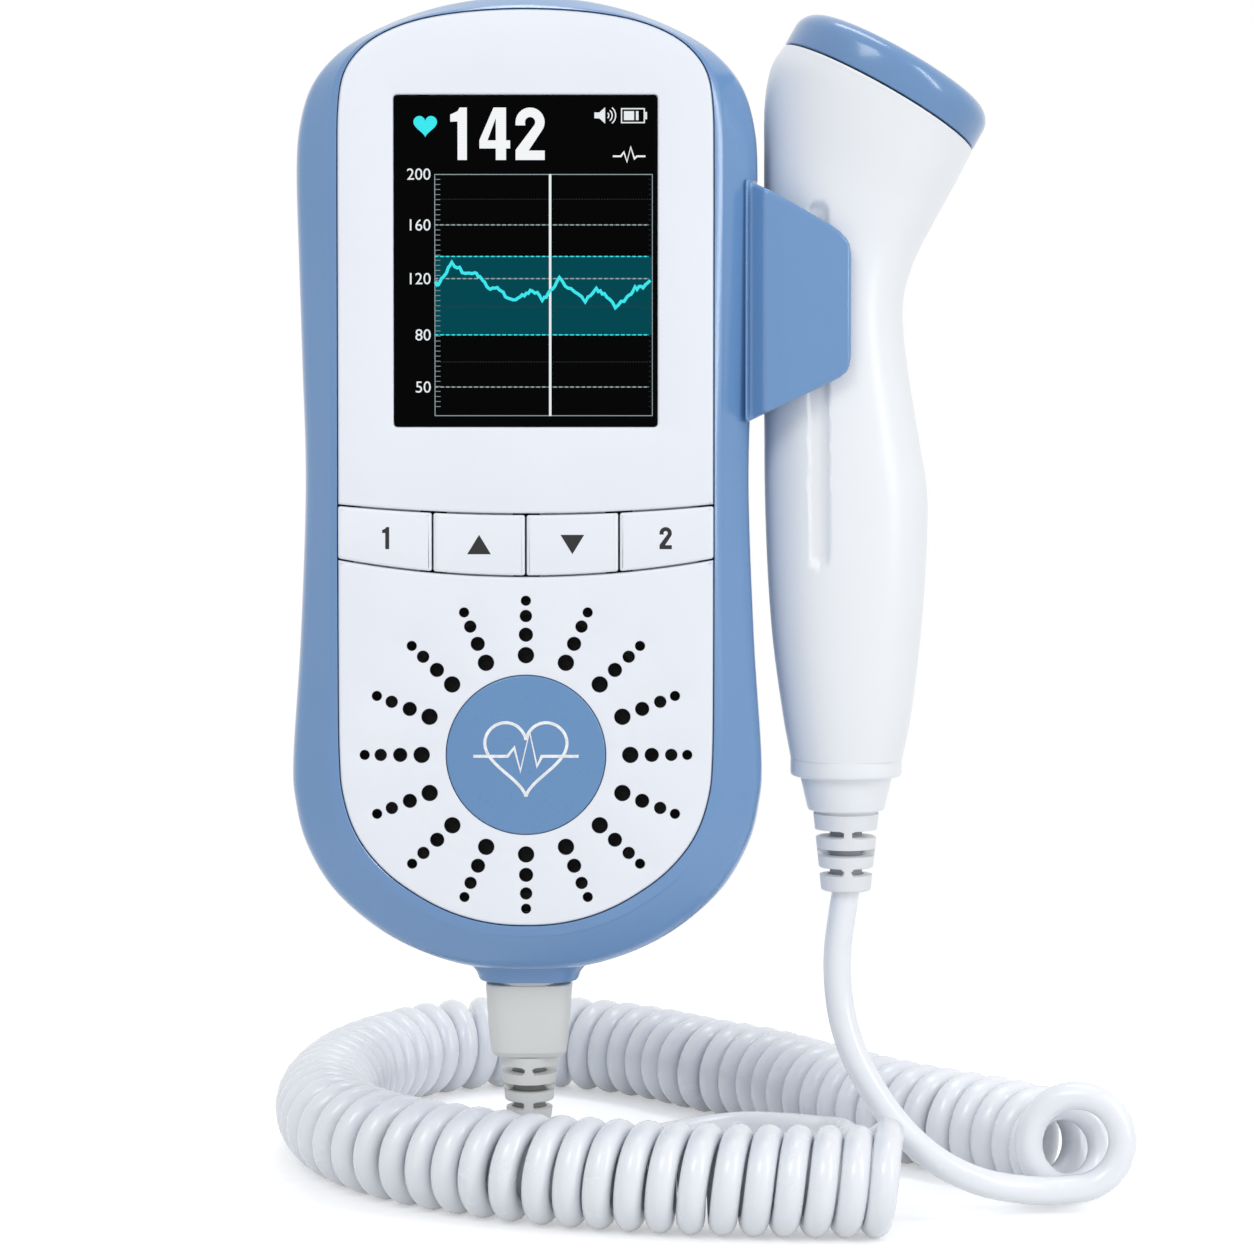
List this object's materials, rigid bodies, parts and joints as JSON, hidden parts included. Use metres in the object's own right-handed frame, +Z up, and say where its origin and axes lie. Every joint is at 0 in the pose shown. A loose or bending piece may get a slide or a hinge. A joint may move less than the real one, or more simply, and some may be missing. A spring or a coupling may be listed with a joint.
{
  "type": "hand-held fetal doppler monitor",
  "caption": "Hand-held fetal doppler monitor with a display, keys and speaker, a probe in its side holder and a curly cord from the plug to the probe.",
  "frame": {"origin": "on the flat back of the hand unit, on its middle line and half way up the casing", "axes": "+Z up along the unit, towards the display end; +Y out of the flat back, away from the face; +X to the right as seen from the front, towards the probe"},
  "size_m": [0.1482, 0.1379, 0.2025],
  "materials": {
    "casing_blue": "moulded ABS, fine satin sheen",
    "face_white": "moulded ABS, semi gloss",
    "key_white": "moulded ABS, semi gloss",
    "probe_white": "moulded ABS, semi gloss",
    "display_glass": "clear acrylic over a black display",
    "display_black": "display module",
    "foam_grey": "closed-cell foam and silicone",
    "steel": "plated steel",
    "speaker_black": "coated paper and plastic",
    "board_green": "glass-epoxy board",
    "parts_black": "moulded chips",
    "ceramic": "piezo ceramic",
    "gold": "gold-plated pins",
    "cell": "wrapped cell",
    "plug_grey": "soft moulded PVC",
    "boot_white": "soft moulded PVC",
    "cord_white": "glossy polyurethane jacket"
  },
  "bodies": {
    "root": {"rear_shell": "casing_blue", "front_frame": "casing_blue", "display_fascia": "face_white", "speaker_grille": "face_white", "grille_badge": "casing_blue", "display_lens": "display_glass", "display_gasket": "foam_grey", "lcd_module": "display_black", "display_carrier": "face_white", "key_mat": "foam_grey", "main_board": "board_green", "board_parts": "parts_black", "board_screws": "steel", "speaker_gasket": "foam_grey", "speaker_basket": "steel", "speaker_cone": "speaker_black", "speaker_magnet": "steel", "battery_cells": "cell", "battery_contacts": "steel", "case_screws": "steel", "probe_holder": "casing_blue", "holder_screws": "steel", "socket_collar": "casing_blue", "probe_socket": "parts_black", "socket_pins": "gold", "plug_nose": "steel", "plug_housing": "plug_grey", "plug_boot": "plug_grey", "cord_probe_lead": "cord_white", "cord_coil": "cord_white", "cord_plug_lead": "cord_white"},
    "probe": {"probe_shell_front": "probe_white", "probe_shell_rear": "probe_white", "probe_cap": "casing_blue", "probe_crystals": "ceramic", "crystal_backing": "foam_grey", "probe_board": "board_green", "cable_clamp": "parts_black", "probe_screws": "steel", "probe_end_ring": "probe_white", "probe_collar": "probe_white", "probe_boot": "boot_white"},
    "key_1_body": {"key_1": "key_white"},
    "key_up_body": {"key_up": "key_white"},
    "key_down_body": {"key_down": "key_white"},
    "key_2_body": {"key_2": "key_white"},
    "cover": {"battery_cover": "casing_blue"}
  },
  "joints": [
    {"name": "probe_lift", "type": "slide", "parent": "root", "child": "probe", "axis": [0, 0, 1], "range_m": [0, 0.12], "deforming": ["cord_probe_lead"]},
    {"name": "key_1_press", "type": "slide", "parent": "root", "child": "key_1_body", "axis": [0, 1, 0], "range_m": [0, 0.0008], "stiffness_N_per_m": 400, "springref_m": -0.001},
    {"name": "key_up_press", "type": "slide", "parent": "root", "child": "key_up_body", "axis": [0, 1, 0], "range_m": [0, 0.0008], "stiffness_N_per_m": 400, "springref_m": -0.001},
    {"name": "key_down_press", "type": "slide", "parent": "root", "child": "key_down_body", "axis": [0, 1, 0], "range_m": [0, 0.0008], "stiffness_N_per_m": 400, "springref_m": -0.001},
    {"name": "key_2_press", "type": "slide", "parent": "root", "child": "key_2_body", "axis": [0, 1, 0], "range_m": [0, 0.0008], "stiffness_N_per_m": 400, "springref_m": -0.001},
    {"name": "cover_swing", "type": "hinge", "parent": "root", "child": "cover", "pos_m": [0, -0.0004, 0.0064], "axis": [-1, 0, 0], "range_deg": [0, 40]}
  ]
}
